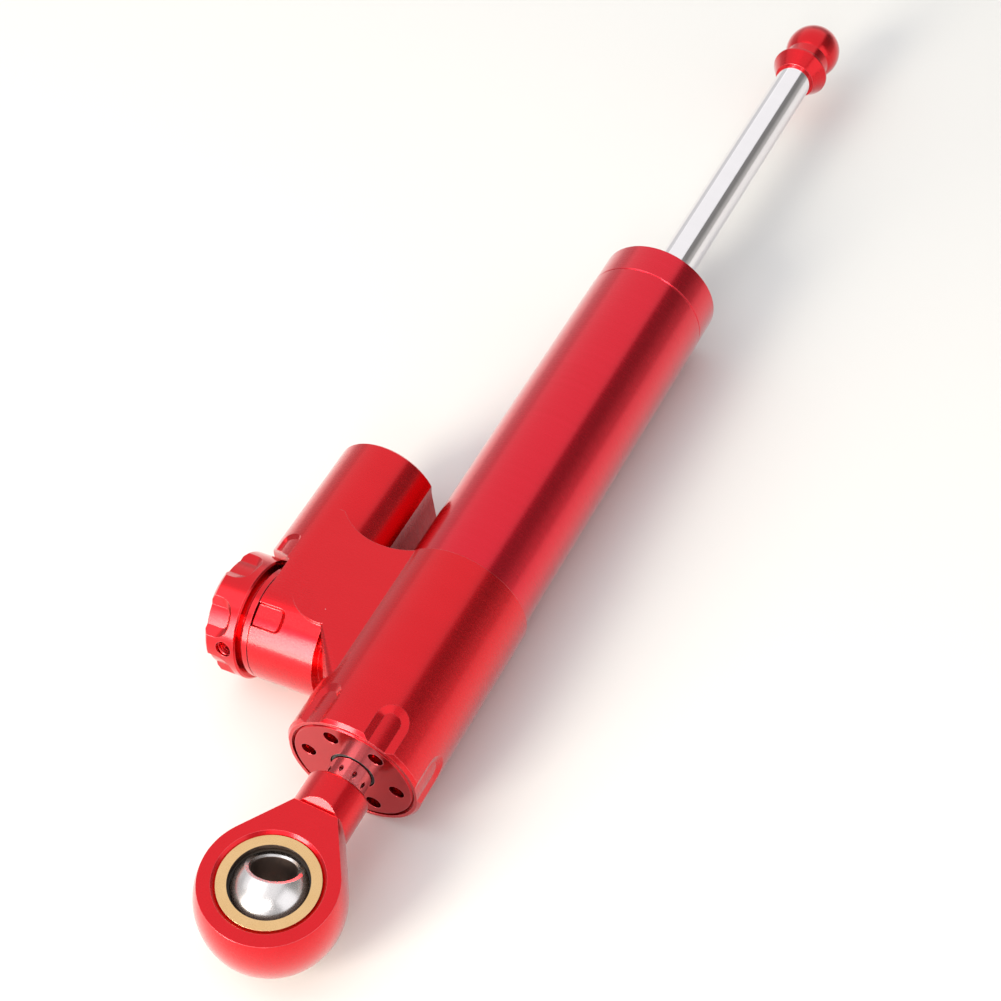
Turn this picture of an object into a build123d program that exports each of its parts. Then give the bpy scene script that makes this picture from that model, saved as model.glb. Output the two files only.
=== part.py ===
"""Adjustable through-rod steering damper with a side reservoir and a damping knob.

Millimetres. The damper's long axis is +X, from the rod end eye to the cap on the
rod's tail. The origin is the centre of the ball in the eye, +Z stands square to the
flat top of the head, and +Y points to the side with the knob. The eye can turn with
its rod, and at rest it is rolled a little about X, so its pieces are built square
and rolled as the last step.
"""
import math
import os

from build123d import *

# Overall stations along the damper's axis
neck_end_x = 29.3
head_front_x = 35.2
head_back_x = 88.0
barrel_end_x = 190.0
rear_face_x = 199.6
tail_shoulder_x = 293.3
eye_roll = 7.65

# Clearances and cutting overrun
fixed_gap = 0.02
running_gap = 0.05
overrun = 1.0

# Rod end eye
eye_width = 14.4
eye_flat_radius = 15.3
eye_equator_radius = 16.6
eye_taper_angle = 33.0
neck_radius = 7.5
flat_end_x = 19.85
neck_relief_x = 20.4
neck_relief_z = 5.9
neck_relief_end_x = 22.3
neck_end_chamfer = 0.5
race_seat_chamfer = 1.0

# Spherical bearing
race_radius = 11.3
race_width = 13.6
race_mouth_radius = 8.9
ball_radius = 9.8
ball_width = 14.9
ball_bore_radius = 5.0
ball_bore_chamfer = 0.5
liner_thickness = 0.45
liner_width = 10.0
ball_tilt = 31.1
ball_tilt_heading = 12.4

# Rod, piston and tail cap
rod_radius = 5.0
stub_radius = 4.0
front_stub_length = 12.8
tail_stub_length = 10.5
socket_spare = 0.6
rod_end_chamfer = 0.6
piston_x = 158.0
piston_width = 12.0
piston_ring_width = 5.8
piston_ring_depth = 1.35
piston_port_radius = 0.9
piston_port_circle = 8.5
piston_port_count = 4
clip_thickness = 1.2
clip_radius = 7.0
clip_groove_depth = 0.5
clip_gap_angle = 24.0
cap_face_radius = 5.7
cap_collar_radius = 8.0
cap_collar_run = 4.0
cap_collar_rim = 0.4
cap_waist_radius = 6.2
cap_waist_run = 7.2
cap_knob_radius = 7.7
cap_knob_run = 13.9

# Head, barrel and rear cap
head_radius = 17.0
head_rim_run = 0.8
head_rim_drop = 0.7
head_back_edge = 0.3
barrel_radius = 15.8
barrel_wall = 3.3
barrel_thread_wall = 1.8
chamber_radius = barrel_radius - barrel_wall
barrel_thread_radius = barrel_radius - barrel_thread_wall
piston_gap = 0.15
piston_radius = chamber_radius - piston_gap
barrel_thread_length = 18.0
barrel_edge = 0.3
rear_cap_step = 0.1
rear_cap_radius = barrel_radius - rear_cap_step
rear_cap_edge = 0.5
rear_spigot_length = 13.0

# Glands at both ends of the chamber
gland_rim_wall = 1.9
gland_flange_radius = head_radius - gland_rim_wall
gland_rim_gap = 0.4
gland_flange_thickness = 1.6
gland_body_wall = 0.5
gland_body_radius = chamber_radius + gland_body_wall
gland_length = 16.8
gland_edge = 0.4
spanner_hole_radius = 1.9
spanner_hole_depth = 3.0
spanner_hole_circle = 11.1
spanner_hole_count = 6
spanner_hole_phase = 11.5
gland_mouth_radius = 5.6
gland_mouth_depth = 0.9
wiper_radius = 7.2
wiper_width = 3.6
wiper_lip = 0.6
wiper_lip_wall = 0.35
bush_wall = 1.5
bush_width = 6.0
seal_radius = 8.0
seal_width = 3.2
seal_back = 0.8
ring_cord_radius = 0.8
ring_groove_width = 2.0

# Side block with the adjuster neck and the reservoir, all three on the damper's mid plane
side_radius = 13.47
adjuster_x = 64.75
neck_face_y = 37.1
neck_back_y = 19.8
neck_root_drop = 2.87
neck_root_radius = side_radius - neck_root_drop
web_start_x = 40.0
web_start_y = 8.41
web_corner_x = 60.2
web_corner_y = 20.4
web_bend_x = 61.0
web_bend_y = 25.6
web_fade_y = 30.4
web_start_round = 6.9
web_corner_round = 0.8
web_end_x = 92.0
web_end_y = 18.0
web_meet_y = 10.0
web_cut_radius = 19.1
web_cut_x = 105.0
web_cut_y = 18.0
reservoir_y = 34.35
reservoir_end_x = 114.0
reservoir_edge = 0.6
relief_start_x = 80.0
relief_gap = 6.1
relief_radius = barrel_radius + relief_gap
relief_corner_round = 3.0
reservoir_bore_radius = 10.0
reservoir_bore_depth = 30.6
reservoir_cap_depth = 6.5
reservoir_cap_edge = 0.4
cap_spanner_radius = 1.5
cap_spanner_circle = 6.5
bleed_screw_radius = 2.5
bleed_screw_length = 4.5
bleed_hex_width = 2.5
bleed_hex_depth = 1.8
separator_x = 94.0
separator_width = 7.0
transfer_port_radius = 1.2
transfer_port_y = 27.2

# Spanner pockets milled into the rims
pocket_corner = 0.4
pocket_margin = 0.3
head_pocket_depth = 0.8
head_pocket_floor_width = 4.3
head_pocket_mouth_width = 8.0
head_pocket_end_x = 44.2
head_pocket_end_run = 1.85
head_pocket_count = 6
head_pocket_phase = 28.15
side_pocket_depth = 0.7
side_pocket_floor_width = 4.9
side_pocket_mouth_width = 6.0
side_pocket_end_run = 1.2
neck_pocket_length = 6.6
neck_pocket_angle = -29.7
reservoir_pocket_end_x = 81.2
reservoir_pocket_angle = 28.7

# Adjuster
gasket_thickness = 0.25
gasket_inset = 1.4
gasket_radius = side_radius - gasket_inset
collar_thickness = 1.55
collar_edge = 0.2
collar_spigot_radius = 9.0
collar_spigot_length = 8.0
spindle_radius = 6.0
spindle_length = 15.0
spindle_stem_radius = 4.0
knob_gap = 1.1
knob_hub_radius = 11.8
knob_overhang = 1.13
knob_radius = side_radius + knob_overhang
knob_clearance = 1.75
knob_clearance_radius = knob_radius + knob_clearance
knob_length = 8.5
knob_edge = 0.8
knob_dish_radius = 10.0
knob_dish_depth = 0.9
knob_wall = 1.6
scallop_count = 6
scallop_phase = 15.2
scallop_floor_width = 4.7
scallop_mouth_width = 9.6
scallop_depth = 1.5
scallop_length = 5.2
scallop_end_run = 1.3
grub_radius = 2.0
grub_length = 5.0
grub_from_face = 3.1
grub_angle = -74.0
grub_hex_width = 2.0
grub_hex_depth = 2.0
needle_radius = 1.9
needle_stem_radius = 2.5
needle_stem_length = 8.0
needle_point_length = 2.5
needle_tip_y = 14.2
needle_bore_spare = 3.0
seat_radius = 4.0
seat_length = 4.6
detent_ball_radius = 1.25
detent_circle = 7.5
detent_spring_length = 4.6
detent_spring_wire = 0.25
detent_spring_coils = 4
detent_dimple_count = 20
detent_dimple_depth = 0.15

parts = {}


def turned(profile, axis=Axis.X):
    """Solid of revolution; profile points are (station, radius)."""
    if axis == Axis.X:
        corners = [(station, radius) for station, radius in profile]
    else:
        corners = [(radius, station) for station, radius in profile]
    return revolve(make_face(Polyline(*corners, close=True)), axis, 360)


def sleeve(start, end, inner, outer, axis=Axis.X):
    """Plain tube, or a disc when the inner radius is zero."""
    return turned([(start, inner), (end, inner), (end, outer), (start, outer)], axis)


def chamfered_sleeve(start, end, inner, outer, edge, axis=Axis.X):
    """Tube whose two outer rims are broken by a small chamfer."""
    rim = outer - edge
    return turned(
        [(start, inner), (end, inner), (end, rim), (end - edge, outer), (start + edge, outer), (start, rim)],
        axis,
    )


def cord_ring(station, radius, cord, axis=Axis.X):
    """Rubber ring of round section, seated in a groove."""
    section = Pos(station, radius) * Circle(cord) if axis == Axis.X else Pos(radius, station) * Circle(cord)
    return revolve(section, axis, 360)


def pocket(length, end_run, floor_width, mouth_width, floor_radius, rim_radius):
    """Milled pocket along +X with a floor that is round about the axis, and sloping sides and end."""
    floor_edge = math.sqrt(floor_radius ** 2 - (floor_width / 2) ** 2)
    mouth_edge = math.sqrt(rim_radius ** 2 - (mouth_width / 2) ** 2)
    side_slope = (mouth_width - floor_width) / 2 / (mouth_edge - floor_edge)
    end_slope = end_run / (rim_radius - floor_radius)
    low = floor_edge - pocket_margin
    high = rim_radius + pocket_margin

    def plan(height):
        reach = length + end_slope * (height - floor_radius)
        width = floor_width + 2 * side_slope * (height - floor_edge)
        outline = Pos((reach - overrun) / 2, 0) * Rectangle(reach + overrun, width)
        far_corners = outline.vertices().sort_by(Axis.X)[-2:]
        return Pos(0, 0, height) * fillet(far_corners, pocket_corner + side_slope * (height - low))

    cutter = loft([plan(low), plan(high)], ruled=True)
    cutter &= sleeve(-2 * overrun, 2 * length + end_run, 0, rim_radius + pocket_margin)
    return cutter - sleeve(-2 * overrun, 2 * length + end_run, 0, floor_radius)


def hex_socket(width, depth):
    """Hexagon key socket, cut downwards from the XY plane."""
    socket_corner_radius = width / math.sqrt(3)
    return extrude(RegularPolygon(socket_corner_radius, 6), -depth)


def around_x(shape, angle):
    """Turn a shape from +Z towards +Y about the X axis."""
    return Rot(-angle, 0, 0) * shape


def at_adjuster(shape):
    """Carry a shape built about the Y axis to the adjuster's axis."""
    return Pos(adjuster_x, 0, 0) * shape


def at_reservoir(shape):
    """Carry a shape built about the X axis to the reservoir's axis."""
    return Pos(0, reservoir_y, 0) * shape


def add(name, shape):
    """Keep one finished piece."""
    parts[name] = shape


def add_rolled(name, shape):
    """Keep one finished piece of the rod end, rolled about the long axis."""
    parts[name] = Rot(eye_roll, 0, 0) * shape


def build_rod_end():
    """Eye with barrel-shaped flanks that taper into a round neck."""
    half = eye_width / 2
    taper = math.radians(eye_taper_angle)
    apex_x = eye_flat_radius / math.sin(taper)

    rim = make_face([
        Line((0, -half), (eye_flat_radius, -half)),
        ThreePointArc((eye_flat_radius, -half), (eye_equator_radius, 0), (eye_flat_radius, half)),
        Line((eye_flat_radius, half), (0, half)),
        Line((0, half), (0, -half)),
    ])
    eye = revolve(Plane.XZ * rim, Axis.Z, 360)

    # Each flank is the rim's own section carried along its taper; the eye is what both share
    flank_length = apex_x * math.cos(taper)
    flanks = []
    for side in (1, -1):
        along = Vector(math.cos(taper), -side * math.sin(taper))
        outward = Vector(math.sin(taper), side * math.cos(taper))
        frame = Plane(origin=(0, 0, 0), x_dir=outward, z_dir=along)
        section = make_face([
            Line((-eye_flat_radius, -half), (eye_flat_radius, -half)),
            ThreePointArc((eye_flat_radius, -half), (eye_equator_radius, 0), (eye_flat_radius, half)),
            Line((eye_flat_radius, half), (-eye_flat_radius, half)),
            Line((-eye_flat_radius, half), (-eye_flat_radius, -half)),
        ])
        flanks.append(extrude(frame * section, flank_length))
    before_neck = Pos(neck_relief_x / 2, 0, 0) * Box(neck_relief_x, 4 * eye_equator_radius, 2 * eye_width)
    eye += flanks[0] & flanks[1] & before_neck

    # The neck runs on from the taper, with a relief cut across it where each flat ends
    eye += turned([
        (0, 0),
        (neck_end_x, 0),
        (neck_end_x, neck_radius - neck_end_chamfer),
        (neck_end_x - neck_end_chamfer, neck_radius),
        (0, neck_radius),
    ])
    reach = eye_equator_radius
    relief = extrude(
        Plane.XZ * make_face(Polyline(
            (flat_end_x, half),
            (neck_relief_x, neck_relief_z),
            (neck_relief_end_x, neck_radius),
            (neck_relief_end_x, reach),
            (flat_end_x, reach),
            close=True,
        )),
        reach,
        both=True,
    )
    over_flat = Pos(0, 0, half + reach / 2) * Box(2 * flat_end_x, 2 * reach, reach)
    eye -= relief + over_flat
    eye -= mirror(relief + over_flat, Plane.XY)

    seat = Cylinder(race_radius + fixed_gap, eye_width + overrun)
    mouth = turned([
        (half, 0), (half, race_radius + race_seat_chamfer),
        (half - race_seat_chamfer, race_radius), (half - race_seat_chamfer, 0),
    ], Axis.Y)
    mouth = Rot(90, 0, 0) * mouth
    eye -= seat
    eye -= mouth
    eye -= mirror(mouth, Plane.XY)
    socket_start = neck_end_x - front_stub_length - socket_spare
    eye -= sleeve(socket_start, neck_end_x + overrun, 0, stub_radius + fixed_gap)
    add_rolled("rod_end_eye", eye)


def build_bearing():
    """Race pressed into the eye, slippery liner, and the pierced ball that tilts in it."""
    seat_radius_in_race = ball_radius + running_gap + liner_thickness + running_gap
    race = Cylinder(race_radius, race_width)
    race -= Sphere(seat_radius_in_race)
    race -= Cylinder(race_mouth_radius, race_width + overrun)
    add_rolled("bearing_race", race)

    liner = Sphere(ball_radius + running_gap + liner_thickness)
    liner &= Cylinder(ball_radius + overrun, liner_width)
    liner -= Sphere(ball_radius + running_gap)
    add_rolled("bearing_liner", liner)

    ball = Sphere(ball_radius)
    ball &= Cylinder(ball_radius + overrun, ball_width)
    ball -= Cylinder(ball_bore_radius, ball_width + overrun)
    half = ball_width / 2
    bore_edge = Rot(90, 0, 0) * turned([
        (half, 0), (half, ball_bore_radius + ball_bore_chamfer), (half - ball_bore_chamfer, ball_bore_radius),
        (half - ball_bore_chamfer, 0),
    ], Axis.Y)
    ball -= bore_edge
    ball -= mirror(bore_edge, Plane.XY)
    add_rolled("ball", Rot(0, 0, ball_tilt_heading) * Rot(0, ball_tilt, 0) * ball)


def build_rod():
    """Through rod, its piston between two clips, and the turned cap on its tail."""
    groove_radius = rod_radius - clip_groove_depth
    piston_end = piston_x + piston_width
    rod_start = neck_end_x - front_stub_length
    rod_end = tail_shoulder_x + tail_stub_length
    rod = turned([
        (rod_start, 0),
        (rod_start, stub_radius - rod_end_chamfer),
        (rod_start + rod_end_chamfer, stub_radius),
        (neck_end_x, stub_radius),
        (neck_end_x, rod_radius),
        (piston_x - clip_thickness, rod_radius),
        (piston_x - clip_thickness, groove_radius),
        (piston_x, groove_radius),
        (piston_x, rod_radius),
        (piston_end, rod_radius),
        (piston_end, groove_radius),
        (piston_end + clip_thickness, groove_radius),
        (piston_end + clip_thickness, rod_radius),
        (tail_shoulder_x, rod_radius),
        (tail_shoulder_x, stub_radius),
        (rod_end - rod_end_chamfer, stub_radius),
        (rod_end, stub_radius - rod_end_chamfer),
        (rod_end, 0),
    ])
    add("piston_rod", rod)

    ring_gap = (piston_width - piston_ring_width) / 2
    ring_start = piston_x + ring_gap
    ring_end = piston_end - ring_gap
    groove_floor = piston_radius - piston_ring_depth
    piston = turned([
        (piston_x, rod_radius + fixed_gap),
        (piston_end, rod_radius + fixed_gap),
        (piston_end, piston_radius),
        (ring_end + running_gap, piston_radius),
        (ring_end + running_gap, groove_floor),
        (ring_start - running_gap, groove_floor),
        (ring_start - running_gap, piston_radius),
        (piston_x, piston_radius),
    ])
    for index in range(piston_port_count):
        port = Pos(piston_x + piston_width / 2, 0, piston_port_circle) * Rot(0, 90, 0) * Cylinder(
            piston_port_radius, piston_width + overrun
        )
        piston -= around_x(port, index * 360 / piston_port_count)
    add("piston", piston)
    ring_floor = groove_floor + running_gap
    add("piston_ring", sleeve(ring_start, ring_end, ring_floor, chamber_radius - running_gap))

    half_gap = math.radians(clip_gap_angle / 2)
    reach = clip_radius + overrun
    opening = extrude(
        Plane.YZ * make_face(Polyline(
            (0, 0), (reach * math.sin(half_gap), -reach), (-reach * math.sin(half_gap), -reach), close=True,
        )),
        rod_end,
    )
    clips = []
    for start in (piston_x - clip_thickness, piston_end):
        clip = sleeve(start, start + clip_thickness, groove_radius + fixed_gap, clip_radius)
        clips.append(clip - opening)
    add("piston_clips", Compound(children=clips))

    cap_start = tail_shoulder_x
    collar_x = cap_start + cap_collar_run
    waist_x = cap_start + cap_waist_run
    knob_x = cap_start + cap_knob_run
    tip_x = knob_x + cap_knob_radius
    blend = math.radians(125)
    blend_x = knob_x + cap_knob_radius * math.cos(blend)
    blend_radius = cap_knob_radius * math.sin(blend)
    outline = make_face([
        Line((cap_start, 0), (cap_start, cap_face_radius)),
        Line((cap_start, cap_face_radius), (collar_x, cap_collar_radius)),
        Line((collar_x, cap_collar_radius), (collar_x + cap_collar_rim, cap_collar_radius)),
        Line((collar_x + cap_collar_rim, cap_collar_radius), (waist_x - cap_collar_rim, cap_waist_radius)),
        Line((waist_x - cap_collar_rim, cap_waist_radius), (waist_x, cap_waist_radius)),
        TangentArc((waist_x, cap_waist_radius), (blend_x, blend_radius), tangent=(1, 0)),
        ThreePointArc(
            (blend_x, blend_radius),
            (knob_x + cap_knob_radius * math.cos(blend / 2), cap_knob_radius * math.sin(blend / 2)),
            (tip_x, 0),
        ),
        Line((tip_x, 0), (cap_start, 0)),
    ])
    cap = revolve(outline, Axis.X, 360)
    cap -= sleeve(cap_start - overrun, rod_end + socket_spare, 0, stub_radius + fixed_gap)
    add("rod_end_cap", cap)


def build_gland_set(prefix, gland, face_x, inward):
    """Wiper, guide bush, rod seal and outer ring, seated in a gland from its outer face inwards."""
    def station(depth):
        return face_x + inward * depth

    def band(near, far, inner, outer):
        low, high = sorted((station(near), station(far)))
        return sleeve(low, high, inner, outer)

    bore = rod_radius + running_gap
    wiper_start = gland_mouth_depth
    wiper_end = wiper_start + wiper_width
    bush_start = wiper_end + wiper_lip
    bush_end = bush_start + bush_width
    seal_start = bush_end + seal_back
    seal_end = seal_start + seal_width
    gland -= band(-overrun, wiper_start + fixed_gap, 0, gland_mouth_radius)
    gland -= band(wiper_start, wiper_end, 0, wiper_radius + fixed_gap)
    gland -= band(bush_start, bush_end, 0, bore + bush_wall + fixed_gap)
    gland -= band(seal_start, seal_end, 0, seal_radius + fixed_gap)
    gland -= band(-overrun, rear_face_x, 0, bore + running_gap)

    wiper = band(wiper_start, wiper_end, bore, wiper_radius)
    lip = band(wiper_start - wiper_lip, wiper_start, bore, bore + wiper_lip_wall)
    add(prefix + "_wiper", wiper + lip)
    add(prefix + "_guide_bush", band(bush_start, bush_end, bore, bore + bush_wall))
    add(prefix + "_rod_seal", band(seal_start, seal_end, bore, seal_radius))
    return gland


def groove_and_ring(name, shape, station, seat_radius, axis=Axis.X, place=None):
    """Cut a ring groove into a shaft at its seat and keep the rubber ring that fills it."""
    floor = seat_radius - 2 * ring_cord_radius
    half = ring_groove_width / 2
    cut = sleeve(station - half, station + half, floor, seat_radius + overrun, axis)
    ring = cord_ring(station, floor + ring_cord_radius, ring_cord_radius - fixed_gap, axis)
    add(name, place(ring) if place else ring)
    return shape - cut


def build_front_gland():
    """Screwed gland in the head's mouth, with six holes for a pin spanner."""
    face = head_front_x
    flange_end = face + gland_flange_thickness
    end = face + gland_length
    gland = turned([
        (face, 0),
        (face, gland_flange_radius - gland_edge),
        (face + gland_edge, gland_flange_radius),
        (flange_end, gland_flange_radius),
        (flange_end, gland_body_radius),
        (end, gland_body_radius),
        (end, 0),
    ])
    for index in range(spanner_hole_count):
        hole = Pos(face, 0, spanner_hole_circle) * Rot(0, 90, 0) * Cylinder(
            spanner_hole_radius, 2 * spanner_hole_depth
        )
        spread = 360 / spanner_hole_count
        gland -= around_x(hole, 90 - spanner_hole_phase - index * spread)
    gland = build_gland_set("front", gland, face, 1)
    gland = groove_and_ring("front_o_ring", gland, face + gland_length / 2, gland_body_radius)
    add("front_gland", gland)


def build_barrel():
    """Polished tube screwed into the head, and the cap that guides the rod's tail."""
    thread_start = head_back_x - barrel_thread_length
    tube = turned([
        (thread_start, chamber_radius),
        (barrel_end_x, chamber_radius),
        (barrel_end_x, barrel_radius - barrel_edge),
        (barrel_end_x - barrel_edge, barrel_radius),
        (head_back_x, barrel_radius),
        (head_back_x, barrel_thread_radius),
        (thread_start, barrel_thread_radius),
    ])
    add("barrel_tube", tube)

    spigot_start = barrel_end_x - rear_spigot_length
    spigot_radius = chamber_radius - fixed_gap
    cap = turned([
        (spigot_start, 0),
        (spigot_start, spigot_radius),
        (barrel_end_x, spigot_radius),
        (barrel_end_x, rear_cap_radius - barrel_edge),
        (barrel_end_x + barrel_edge, rear_cap_radius),
        (rear_face_x - rear_cap_edge, rear_cap_radius),
        (rear_face_x, rear_cap_radius - rear_cap_edge),
        (rear_face_x, 0),
    ])
    cap = build_gland_set("rear", cap, rear_face_x, -1)
    cap = groove_and_ring("rear_o_ring", cap, barrel_end_x - rear_spigot_length / 2, spigot_radius)
    add("rear_cap", cap)


def build_housing():
    """Machined head block: round head, flat-topped web, adjuster neck and reservoir."""
    half_height = side_radius
    head = turned([
        (head_front_x, 0),
        (head_front_x, head_radius - head_rim_drop),
        (head_front_x + head_rim_run, head_radius),
        (head_back_x - head_back_edge, head_radius),
        (head_back_x, head_radius - head_back_edge),
        (head_back_x, 0),
    ])
    neck = at_adjuster(sleeve(neck_back_y, neck_face_y, 0, side_radius, Axis.Y))
    root = at_adjuster(sleeve(0, neck_back_y, 0, neck_root_radius, Axis.Y))

    # The reservoir is round above and square below, where it cradles the barrel
    reservoir_length = reservoir_end_x - adjuster_x
    relief_length = reservoir_end_x - relief_start_x
    reservoir = at_reservoir(sleeve(adjuster_x, reservoir_end_x, 0, side_radius))
    cradle_width = reservoir_y - relief_radius
    cradle = Pos(reservoir_end_x - relief_length / 2, relief_radius + cradle_width / 2, -half_height / 2) * Box(
        relief_length, cradle_width, half_height
    )
    inner_corner = cradle.edges().filter_by(Axis.X).sort_by(Axis.Y)[:2].sort_by(Axis.Z)[:1]
    cradle = fillet(inner_corner, relief_corner_round)
    beside_barrel = Pos(reservoir_end_x, relief_radius / 2, -half_height / 2) * Box(
        2 * relief_length, relief_radius, half_height
    )
    over_barrel = sleeve(relief_start_x, reservoir_end_x + overrun, 0, relief_radius)
    reservoir += cradle
    reservoir -= beside_barrel
    reservoir -= over_barrel
    end_rim = reservoir.edges().filter_by_position(Axis.X, reservoir_end_x - fixed_gap, reservoir_end_x)
    reservoir = chamfer(end_rim, reservoir_edge)

    # The web's plan: a slanting front edge that bends round to the top of the neck
    plan = make_face([
        Line((web_start_x, 0), (web_start_x, web_start_y)),
        Line((web_start_x, web_start_y), (web_corner_x, web_corner_y)),
        ThreePointArc((web_corner_x, web_corner_y), (web_bend_x, web_bend_y), (adjuster_x, web_fade_y)),
        Line((adjuster_x, web_fade_y), (adjuster_x, reservoir_y)),
        Line((adjuster_x, reservoir_y), (web_end_x, reservoir_y)),
        Line((web_end_x, reservoir_y), (web_end_x, web_end_y)),
        Line((web_end_x, web_end_y), (head_back_x, web_meet_y)),
        Line((head_back_x, web_meet_y), (head_back_x, 0)),
        Line((head_back_x, 0), (web_start_x, 0)),
    ])
    web = extrude(plan, half_height, both=True)
    web -= Pos(web_cut_x, web_cut_y, 0) * Cylinder(web_cut_radius, 4 * half_height)

    # The slanting edge is rounded over, widely at the head and tightly at the neck
    def corner_section(drop):
        return make_face([
            Line((-overrun, -drop), (0, -drop)),
            TangentArc((0, -drop), (drop, 0), tangent=(0, 1)),
            Line((drop, 0), (drop, overrun)),
            Line((drop, overrun), (-overrun, overrun)),
            Line((-overrun, overrun), (-overrun, -drop)),
        ])

    slant = Vector(web_corner_x - web_start_x, web_corner_y - web_start_y).normalized()
    inward = Vector(slant.Y, -slant.X)
    start_frame = Plane(origin=(web_start_x, web_start_y, half_height), x_dir=inward, z_dir=-slant)
    corner_frame = Plane(origin=(web_corner_x, web_corner_y, half_height), x_dir=inward, z_dir=-slant)
    edge_cut = loft(
        [start_frame * corner_section(web_start_round), corner_frame * corner_section(web_corner_round)],
        ruled=True,
    )
    web -= edge_cut
    web -= mirror(edge_cut, Plane.XY)

    housing = head + neck + root + reservoir + web

    # Round space for the knob beside the reservoir's front
    housing -= at_adjuster(
        sleeve(neck_face_y, reservoir_y + 2 * side_radius, 0, knob_clearance_radius, Axis.Y)
    )

    # Spanner pockets in the head's rim, the neck and the reservoir's front rim
    head_pocket = Pos(head_front_x, 0, 0) * pocket(
        head_pocket_end_x - head_front_x, head_pocket_end_run, head_pocket_floor_width,
        head_pocket_mouth_width, head_radius - head_pocket_depth, head_radius,
    )

    def side_pocket(length):
        return pocket(
            length, side_pocket_end_run, side_pocket_floor_width, side_pocket_mouth_width,
            side_radius - side_pocket_depth, side_radius,
        )

    for index in range(head_pocket_count):
        housing -= around_x(head_pocket, head_pocket_phase + index * 360 / head_pocket_count)
    neck_pocket = Pos(0, neck_face_y, 0) * Rot(0, 0, -90) * side_pocket(neck_pocket_length)
    for turn in (0, 180):
        housing -= at_adjuster(Rot(0, neck_pocket_angle + turn, 0) * neck_pocket)
    reservoir_pocket = Pos(adjuster_x, 0, 0) * side_pocket(reservoir_pocket_end_x - adjuster_x)
    outer_side = Pos(adjuster_x, neck_face_y + side_radius, 0) * Box(
        4 * side_radius, 2 * side_radius, 4 * side_radius
    )
    housing -= at_reservoir(around_x(reservoir_pocket, reservoir_pocket_angle)) & outer_side

    # Bores for the gland, the chamber, the barrel's thread, the adjuster and the reservoir
    flange_end = head_front_x + gland_flange_thickness
    gland_end = head_front_x + gland_length
    thread_start = head_back_x - barrel_thread_length
    housing -= turned([
        (head_front_x - overrun, 0),
        (head_front_x - overrun, gland_flange_radius + gland_rim_gap),
        (flange_end, gland_flange_radius + gland_rim_gap),
        (flange_end, gland_body_radius + fixed_gap),
        (gland_end, gland_body_radius + fixed_gap),
        (gland_end, chamber_radius),
        (thread_start, chamber_radius),
        (thread_start, barrel_thread_radius + fixed_gap),
        (head_back_x + overrun, barrel_thread_radius + fixed_gap),
        (head_back_x + overrun, 0),
    ])
    collar_seat_y = neck_face_y - collar_spigot_length
    spindle_seat_y = neck_face_y - spindle_length
    seat_end_y = spindle_seat_y - seat_length
    housing -= at_adjuster(turned([
        (0, 0),
        (0, needle_radius + running_gap),
        (seat_end_y, needle_radius + running_gap),
        (seat_end_y, seat_radius + fixed_gap),
        (spindle_seat_y, seat_radius + fixed_gap),
        (spindle_seat_y, spindle_radius + running_gap),
        (collar_seat_y, spindle_radius + running_gap),
        (collar_seat_y, collar_spigot_radius + fixed_gap),
        (neck_face_y + overrun, collar_spigot_radius + fixed_gap),
        (neck_face_y + overrun, 0),
    ], Axis.Y))
    bore_start = reservoir_end_x - reservoir_bore_depth
    housing -= at_reservoir(sleeve(bore_start, reservoir_end_x + overrun, 0, reservoir_bore_radius))
    port_length = bore_start - adjuster_x + overrun
    housing -= Pos(adjuster_x + port_length / 2, transfer_port_y, 0) * Rot(0, 90, 0) * Cylinder(
        transfer_port_radius, port_length
    )
    add("housing", housing)


def build_reservoir():
    """Floating separator piston and the screwed cap with its bleed screw."""
    separator = sleeve(
        separator_x, separator_x + separator_width, 0, reservoir_bore_radius - running_gap
    )
    separator = groove_and_ring(
        "separator_o_ring", separator, separator_x + separator_width / 2,
        reservoir_bore_radius - running_gap, place=at_reservoir,
    )
    add("separator_piston", at_reservoir(separator))

    cap_start = reservoir_end_x - reservoir_cap_depth
    cap = chamfered_sleeve(
        cap_start, reservoir_end_x, 0, reservoir_bore_radius - fixed_gap, reservoir_cap_edge
    )
    bleed_start = reservoir_end_x - bleed_screw_length
    cap -= sleeve(cap_start - overrun, bleed_start, 0, transfer_port_radius)
    cap -= sleeve(bleed_start, reservoir_end_x + overrun, 0, bleed_screw_radius + fixed_gap)
    for side in (1, -1):
        cap -= Pos(reservoir_end_x, side * cap_spanner_circle, 0) * Rot(0, 90, 0) * Cylinder(
            cap_spanner_radius, 2 * spanner_hole_depth
        )
    cap_ring_x = cap_start + reservoir_cap_edge + ring_groove_width
    cap = groove_and_ring(
        "reservoir_o_ring", cap, cap_ring_x, reservoir_bore_radius - fixed_gap, place=at_reservoir
    )
    add("reservoir_cap", at_reservoir(cap))

    screw = sleeve(bleed_start, reservoir_end_x, 0, bleed_screw_radius)
    screw -= Pos(reservoir_end_x, 0, 0) * Rot(0, 90, 0) * hex_socket(bleed_hex_width, bleed_hex_depth)
    add("bleed_screw", at_reservoir(screw))


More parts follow.
